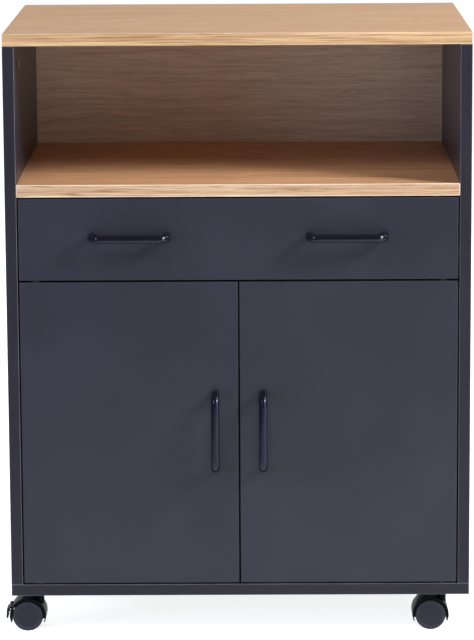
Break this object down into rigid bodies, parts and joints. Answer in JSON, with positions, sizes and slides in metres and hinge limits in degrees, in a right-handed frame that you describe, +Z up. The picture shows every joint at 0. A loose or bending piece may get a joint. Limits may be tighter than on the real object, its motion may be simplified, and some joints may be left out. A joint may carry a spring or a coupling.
{
  "type": "microwave cart",
  "caption": "Low kitchen cart on swivelling twin-wheel casters: open oak-look niche for a microwave, wide drawer on roller runners, and a cupboard with pivot-hung doors and a loose shelf.",
  "frame": {"origin": "on the floor under the middle of the cart's box, between the handles' fronts and the back panels", "axes": "+X to the right as seen from the front, -Y towards the front, +Z up"},
  "size_m": [0.62, 0.428, 0.794],
  "materials": {
    "oak_board": "oak-grain melamine on particle board, fine grain, satin",
    "oak_back": "oak-grain printed hardboard, in the shade of the niche",
    "graphite_board": "graphite melamine on particle board, satin",
    "graphite_inner": "graphite melamine on particle board, matt",
    "graphite_hardboard": "painted hardboard, matt",
    "zinc_steel": "bright zinc plating",
    "beech_dowel": "plain fluted beech",
    "runner_steel": "galvanised sheet steel",
    "white_nylon": "natural nylon",
    "black_handle": "glossy black lacquer on steel",
    "black_nylon": "moulded black nylon, matt",
    "black_steel": "black-coated steel",
    "caster_plastic": "glossy black moulded nylon",
    "wheel_nylon": "dark grey nylon, satin"
  },
  "bodies": {
    "root": {"top_board": "oak_board", "left_side_panel": "graphite_board", "right_side_panel": "graphite_board", "bottom_panel": "graphite_board", "fixed_shelf": "oak_board", "divider_panel": "graphite_inner", "loose_shelf": "graphite_inner", "niche_back_panel": "oak_back", "lower_back_panel": "graphite_hardboard", "shelf_pins": "zinc_steel", "cam_locks": "zinc_steel", "cam_bolts": "zinc_steel", "dowels": "beech_dowel", "left_cabinet_runner": "runner_steel", "right_cabinet_runner": "runner_steel", "cabinet_screws": "zinc_steel", "pivot_plates": "black_steel", "magnetic_catches": "black_nylon", "caster_plates": "black_steel"},
    "drawer": {"drawer_front": "graphite_board", "left_drawer_side": "graphite_inner", "right_drawer_side": "graphite_inner", "drawer_back": "graphite_inner", "drawer_bottom": "graphite_hardboard", "drawer_handles": "black_handle", "left_drawer_runner": "runner_steel", "right_drawer_runner": "runner_steel", "drawer_cams": "zinc_steel", "drawer_screws": "zinc_steel"},
    "left_door": {"left_door": "graphite_board", "left_door_handle": "black_handle", "left_door_bushes": "black_nylon", "left_door_fittings": "zinc_steel"},
    "left_front_roller": {"left_front_roller": "white_nylon"},
    "left_rear_roller": {"left_rear_roller": "white_nylon"},
    "right_door": {"right_door": "graphite_board", "right_door_handle": "black_handle", "right_door_bushes": "black_nylon", "right_door_fittings": "zinc_steel"},
    "right_front_roller": {"right_front_roller": "white_nylon"},
    "right_rear_roller": {"right_rear_roller": "white_nylon"},
    "front_left_caster": {"front_left_hood": "caster_plastic", "front_left_axle": "zinc_steel"},
    "front_left_near_wheel": {"front_left_near_wheel": "wheel_nylon"},
    "front_left_far_wheel": {"front_left_far_wheel": "wheel_nylon"},
    "front_left_lever": {"front_left_lever": "caster_plastic"},
    "front_right_caster": {"front_right_hood": "caster_plastic", "front_right_axle": "zinc_steel"},
    "front_right_near_wheel": {"front_right_near_wheel": "wheel_nylon"},
    "front_right_far_wheel": {"front_right_far_wheel": "wheel_nylon"},
    "rear_left_caster": {"rear_left_hood": "caster_plastic", "rear_left_axle": "zinc_steel"},
    "rear_left_near_wheel": {"rear_left_near_wheel": "wheel_nylon"},
    "rear_left_far_wheel": {"rear_left_far_wheel": "wheel_nylon"},
    "rear_right_caster": {"rear_right_hood": "caster_plastic", "rear_right_axle": "zinc_steel"},
    "rear_right_near_wheel": {"rear_right_near_wheel": "wheel_nylon"},
    "rear_right_far_wheel": {"rear_right_far_wheel": "wheel_nylon"},
    "rear_right_lever": {"rear_right_lever": "caster_plastic"}
  },
  "joints": [
    {"name": "drawer_slide", "type": "slide", "parent": "root", "child": "drawer", "axis": [0, -1, 0], "range_m": [0, 0.27]},
    {"name": "left_door_hinge", "type": "hinge", "parent": "root", "child": "left_door", "pos_m": [-0.263, -0.1785, 0.2715], "axis": [0, 0, -1], "range_deg": [0, 105]},
    {"name": "left_front_roller_spin", "type": "hinge", "parent": "root", "child": "left_front_roller", "pos_m": [-0.2798, -0.155, 0.5022], "axis": [1, 0, 0], "continuous": true},
    {"name": "left_rear_roller_spin", "type": "hinge", "parent": "drawer", "child": "left_rear_roller", "pos_m": [-0.2785, 0.169, 0.5024], "axis": [1, 0, 0], "continuous": true},
    {"name": "right_door_hinge", "type": "hinge", "parent": "root", "child": "right_door", "pos_m": [0.263, -0.1785, 0.2715], "axis": [0, 0, 1], "range_deg": [0, 105]},
    {"name": "right_front_roller_spin", "type": "hinge", "parent": "root", "child": "right_front_roller", "pos_m": [0.2798, -0.155, 0.5022], "axis": [1, 0, 0], "continuous": true},
    {"name": "right_rear_roller_spin", "type": "hinge", "parent": "drawer", "child": "right_rear_roller", "pos_m": [0.2785, 0.169, 0.5024], "axis": [1, 0, 0], "continuous": true},
    {"name": "front_left_swivel", "type": "hinge", "parent": "root", "child": "front_left_caster", "pos_m": [-0.266, -0.148, 0.046], "axis": [0, 0, 1], "continuous": true},
    {"name": "front_left_near_spin", "type": "hinge", "parent": "front_left_caster", "child": "front_left_near_wheel", "pos_m": [-0.281, -0.15775, 0.02], "axis": [0, 1, 0], "continuous": true},
    {"name": "front_left_far_spin", "type": "hinge", "parent": "front_left_caster", "child": "front_left_far_wheel", "pos_m": [-0.281, -0.13825, 0.02], "axis": [0, 1, 0], "continuous": true},
    {"name": "front_left_brake", "type": "hinge", "parent": "front_left_caster", "child": "front_left_lever", "pos_m": [-0.3038, -0.148, 0.029], "axis": [0, -1, 0], "range_deg": [0, 10]},
    {"name": "front_right_swivel", "type": "hinge", "parent": "root", "child": "front_right_caster", "pos_m": [0.266, -0.148, 0.046], "axis": [0, 0, 1], "continuous": true},
    {"name": "front_right_near_spin", "type": "hinge", "parent": "front_right_caster", "child": "front_right_near_wheel", "pos_m": [0.251, -0.15775, 0.02], "axis": [0, 1, 0], "continuous": true},
    {"name": "front_right_far_spin", "type": "hinge", "parent": "front_right_caster", "child": "front_right_far_wheel", "pos_m": [0.251, -0.13825, 0.02], "axis": [0, 1, 0], "continuous": true},
    {"name": "rear_left_swivel", "type": "hinge", "parent": "root", "child": "rear_left_caster", "pos_m": [-0.266, 0.176, 0.046], "axis": [0, 0, 1], "continuous": true},
    {"name": "rear_left_near_spin", "type": "hinge", "parent": "rear_left_caster", "child": "rear_left_near_wheel", "pos_m": [-0.251, 0.16625, 0.02], "axis": [0, 1, 0], "continuous": true},
    {"name": "rear_left_far_spin", "type": "hinge", "parent": "rear_left_caster", "child": "rear_left_far_wheel", "pos_m": [-0.251, 0.18575, 0.02], "axis": [0, 1, 0], "continuous": true},
    {"name": "rear_right_swivel", "type": "hinge", "parent": "root", "child": "rear_right_caster", "pos_m": [0.266, 0.176, 0.046], "axis": [0, 0, 1], "continuous": true},
    {"name": "rear_right_near_spin", "type": "hinge", "parent": "rear_right_caster", "child": "rear_right_near_wheel", "pos_m": [0.281, 0.16625, 0.02], "axis": [0, 1, 0], "continuous": true},
    {"name": "rear_right_far_spin", "type": "hinge", "parent": "rear_right_caster", "child": "rear_right_far_wheel", "pos_m": [0.281, 0.18575, 0.02], "axis": [0, 1, 0], "continuous": true},
    {"name": "rear_right_brake", "type": "hinge", "parent": "rear_right_caster", "child": "rear_right_lever", "pos_m": [0.3038, 0.176, 0.029], "axis": [0, 1, 0], "range_deg": [0, 10]}
  ],
  "couplings": [
    {"joint": "left_front_roller_spin", "follows": "drawer_slide", "rad_per_m": 133.33},
    {"joint": "left_rear_roller_spin", "follows": "drawer_slide", "rad_per_m": 125},
    {"joint": "right_front_roller_spin", "follows": "drawer_slide", "rad_per_m": 133.33},
    {"joint": "right_rear_roller_spin", "follows": "drawer_slide", "rad_per_m": 125}
  ]
}
